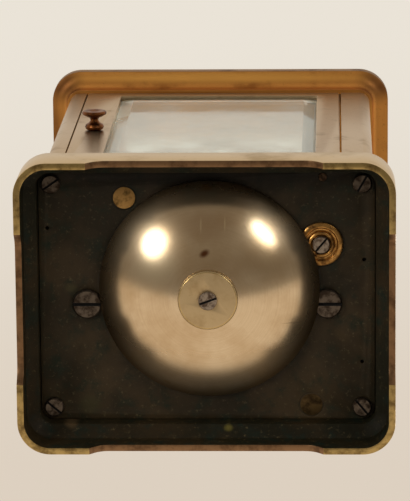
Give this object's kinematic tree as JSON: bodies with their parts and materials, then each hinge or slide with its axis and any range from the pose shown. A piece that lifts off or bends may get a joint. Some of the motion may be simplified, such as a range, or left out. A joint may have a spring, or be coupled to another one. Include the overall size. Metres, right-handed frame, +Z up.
{
  "type": "carriage clock",
  "caption": "Small glazed brass table clock with a carrying handle, a hinged back door, a wind-up movement and an alarm bell hung in its hollow footed base.",
  "frame": {"origin": "on the plane of the four feet, under the middle of the case", "axes": "+Z up the clock, +Y towards the back door, the dial faces -Y, the door's knob is on the +X side"},
  "size_m": [0.092, 0.0724, 0.1693],
  "materials": {
    "case_brass": "aged polished brass, browned in the hollows",
    "pillar_brass": "dull grey-brown tarnished brass",
    "base_plate_iron": "near-black oiled iron with fine specks",
    "blued_steel": "dark blued steel",
    "case_glass": "clear bevelled glass, slightly dusty",
    "handle_brass": "brown toned brass",
    "bell_metal": "olive-gold polished bell metal",
    "washer_brass": "worn yellow brass",
    "movement_brass": "lacquered brass",
    "steel": "bright steel",
    "platform_silver": "silvered and grained",
    "balance_gold": "polished gilt brass",
    "dial_enamel": "white vitreous enamel",
    "mask_gilt": "matt gilt"
  },
  "bodies": {
    "case": {"base_moulding": "case_brass", "base_plate": "base_plate_iron", "base_screws": "blued_steel", "base_plugs": "washer_brass", "front_pillars": "pillar_brass", "back_pillar_latch_side": "pillar_brass", "back_pillar_hinge_side": "pillar_brass", "top_moulding": "case_brass", "top_glass": "case_glass", "front_glass": "case_glass", "side_glasses": "case_glass", "door_pins": "steel", "handle_posts": "handle_brass", "handle_screws": "blued_steel", "bell": "bell_metal", "bell_post": "washer_brass", "bell_washer": "washer_brass", "bell_screw": "blued_steel", "movement_screws": "blued_steel", "steady_cup": "washer_brass", "dial": "dial_enamel", "dial_mask": "mask_gilt", "front_plate": "movement_brass", "back_plate": "movement_brass", "frame_pillars": "movement_brass", "frame_screws": "blued_steel", "click_springs": "steel", "platform": "platform_silver", "hairspring": "steel", "balance_cock": "platform_silver"},
    "door": {"back_door_frame": "pillar_brass", "back_door_glass": "case_glass", "door_knob": "handle_brass"},
    "handle": {"handle_bail": "handle_brass"},
    "minute_work": {"center_arbor": "steel", "minute_hand": "blued_steel"},
    "motion_wheel": {"minute_wheel": "movement_brass"},
    "hour_work": {"hour_wheel": "movement_brass", "hour_hand": "blued_steel"},
    "alarm_disc": {"alarm_wheel": "movement_brass"},
    "alarm_set": {"alarm_arbor": "steel", "alarm_hand": "blued_steel"},
    "barrel": {"going_barrel": "movement_brass", "mainspring": "steel"},
    "winding": {"winding_arbor": "steel", "ratchet_wheel": "steel"},
    "going_click": {"click": "steel"},
    "intermediate": {"intermediate_wheel": "movement_brass"},
    "centre": {"center_wheel": "movement_brass"},
    "third": {"third_wheel": "movement_brass"},
    "contrate": {"contrate_wheel": "movement_brass"},
    "escape": {"escape_wheel": "balance_gold"},
    "pallets": {"lever": "steel"},
    "balance_body": {"balance": "balance_gold"},
    "index": {"regulator": "steel"},
    "alarm_drum": {"alarm_barrel": "movement_brass"},
    "alarm_winding": {"alarm_winding_arbor": "steel"},
    "alarm_click_body": {"alarm_click": "steel"},
    "star": {"star_wheel": "movement_brass"},
    "striker": {"hammer": "steel"}
  },
  "joints": [
    {"name": "door_hinge", "type": "hinge", "parent": "case", "child": "door", "pos_m": [-0.0284, 0.0296, 0.073], "axis": [0, 0, 1], "range_deg": [0, 105]},
    {"name": "handle_swing", "type": "hinge", "parent": "case", "child": "handle", "pos_m": [0, 0, 0.1392], "axis": [1, 0, 0], "range_deg": [-84, 84]},
    {"name": "minute_hand_turn", "type": "hinge", "parent": "case", "child": "minute_work", "pos_m": [0, -0.025, 0.08], "axis": [0, 1, 0], "continuous": true},
    {"name": "motion_wheel_turn", "type": "hinge", "parent": "case", "child": "motion_wheel", "pos_m": [-0.01691, -0.0215, 0.08616], "axis": [0, 1, 0], "continuous": true},
    {"name": "hour_hand_turn", "type": "hinge", "parent": "case", "child": "hour_work", "pos_m": [0, -0.025, 0.08], "axis": [0, 1, 0], "continuous": true},
    {"name": "alarm_wheel_turn", "type": "hinge", "parent": "case", "child": "alarm_disc", "pos_m": [0, -0.023, 0.048], "axis": [0, 1, 0], "continuous": true},
    {"name": "alarm_hand_turn", "type": "hinge", "parent": "case", "child": "alarm_set", "pos_m": [0, -0.025, 0.048], "axis": [0, 1, 0], "continuous": true},
    {"name": "contrate_turn", "type": "hinge", "parent": "case", "child": "contrate", "pos_m": [0.006, -0.002, 0.0925], "axis": [0, 1, 0], "continuous": true},
    {"name": "third_wheel_turn", "type": "hinge", "parent": "case", "child": "third", "pos_m": [0.0122, -0.005, 0.08315], "axis": [0, 1, 0], "continuous": true},
    {"name": "centre_wheel_turn", "type": "hinge", "parent": "case", "child": "centre", "pos_m": [0, -0.014, 0.08], "axis": [0, 1, 0], "continuous": true},
    {"name": "intermediate_turn", "type": "hinge", "parent": "case", "child": "intermediate", "pos_m": [0.00924, -0.009, 0.06713], "axis": [0, 1, 0], "continuous": true},
    {"name": "going_barrel_turn", "type": "hinge", "parent": "case", "child": "barrel", "pos_m": [0.0172, 0.004, 0.052], "axis": [0, 1, 0], "continuous": true},
    {"name": "escape_wheel_turn", "type": "hinge", "parent": "case", "child": "escape", "pos_m": [0.006, 0.0002, 0.1073], "axis": [0, 0, 1], "continuous": true},
    {"name": "winding_turn", "type": "hinge", "parent": "case", "child": "winding", "pos_m": [0.0172, 0.016, 0.052], "axis": [0, 1, 0], "continuous": true},
    {"name": "click_lift", "type": "hinge", "parent": "case", "child": "going_click", "pos_m": [0.02212, 0.01485, 0.06188], "axis": [0, 1, 0], "range_deg": [0, 8], "stiffness_Nm_per_rad": 0.01, "springref_deg": -5.73, "deforming": ["click_springs"]},
    {"name": "alarm_barrel_turn", "type": "hinge", "parent": "case", "child": "alarm_drum", "pos_m": [-0.01427, 0.004, 0.05909], "axis": [0, 1, 0], "continuous": true},
    {"name": "star_wheel_turn", "type": "hinge", "parent": "case", "child": "star", "pos_m": [-0.0167, -0.012, 0.0453], "axis": [0, 1, 0], "continuous": true},
    {"name": "alarm_winding_turn", "type": "hinge", "parent": "case", "child": "alarm_winding", "pos_m": [-0.01427, 0.016, 0.05909], "axis": [0, 1, 0], "continuous": true},
    {"name": "alarm_click_lift", "type": "hinge", "parent": "case", "child": "alarm_click_body", "pos_m": [-0.01685, 0.01485, 0.06982], "axis": [0, 1, 0], "range_deg": [0, 8], "stiffness_Nm_per_rad": 0.01, "springref_deg": -5.73, "deforming": ["click_springs"]},
    {"name": "hammer_swing", "type": "hinge", "parent": "case", "child": "striker", "pos_m": [-0.0167, 0.002, 0.0343], "axis": [0, 1, 0], "range_deg": [-5, 5]},
    {"name": "pallet_swing", "type": "hinge", "parent": "case", "child": "pallets", "pos_m": [0.00115, 0.0002, 0.1073], "axis": [0, 0, 1], "range_deg": [-4, 4]},
    {"name": "balance_swing", "type": "hinge", "parent": "case", "child": "balance_body", "pos_m": [-0.00525, 0.0002, 0.11], "axis": [0, 0, 1], "range_deg": [-125, 125], "stiffness_Nm_per_rad": 0.0000044, "deforming": ["hairspring"]},
    {"name": "regulator_turn", "type": "hinge", "parent": "case", "child": "index", "pos_m": [-0.00525, 0.0002, 0.1152], "axis": [0, 0, 1], "range_deg": [-20, 20]}
  ],
  "couplings": [
    {"joint": "motion_wheel_turn", "follows": "minute_hand_turn", "ratio": -0.66667},
    {"joint": "hour_hand_turn", "follows": "minute_hand_turn", "ratio": 0.083333},
    {"joint": "alarm_wheel_turn", "follows": "minute_hand_turn", "ratio": -0.083333},
    {"joint": "third_wheel_turn", "follows": "contrate_turn", "ratio": -0.13333},
    {"joint": "centre_wheel_turn", "follows": "contrate_turn", "ratio": 0.016667},
    {"joint": "intermediate_turn", "follows": "contrate_turn", "ratio": -0.0037037},
    {"joint": "going_barrel_turn", "follows": "contrate_turn", "ratio": 0.00046296},
    {"joint": "escape_wheel_turn", "follows": "contrate_turn", "ratio": 8},
    {"joint": "star_wheel_turn", "follows": "alarm_barrel_turn", "ratio": -6}
  ]
}
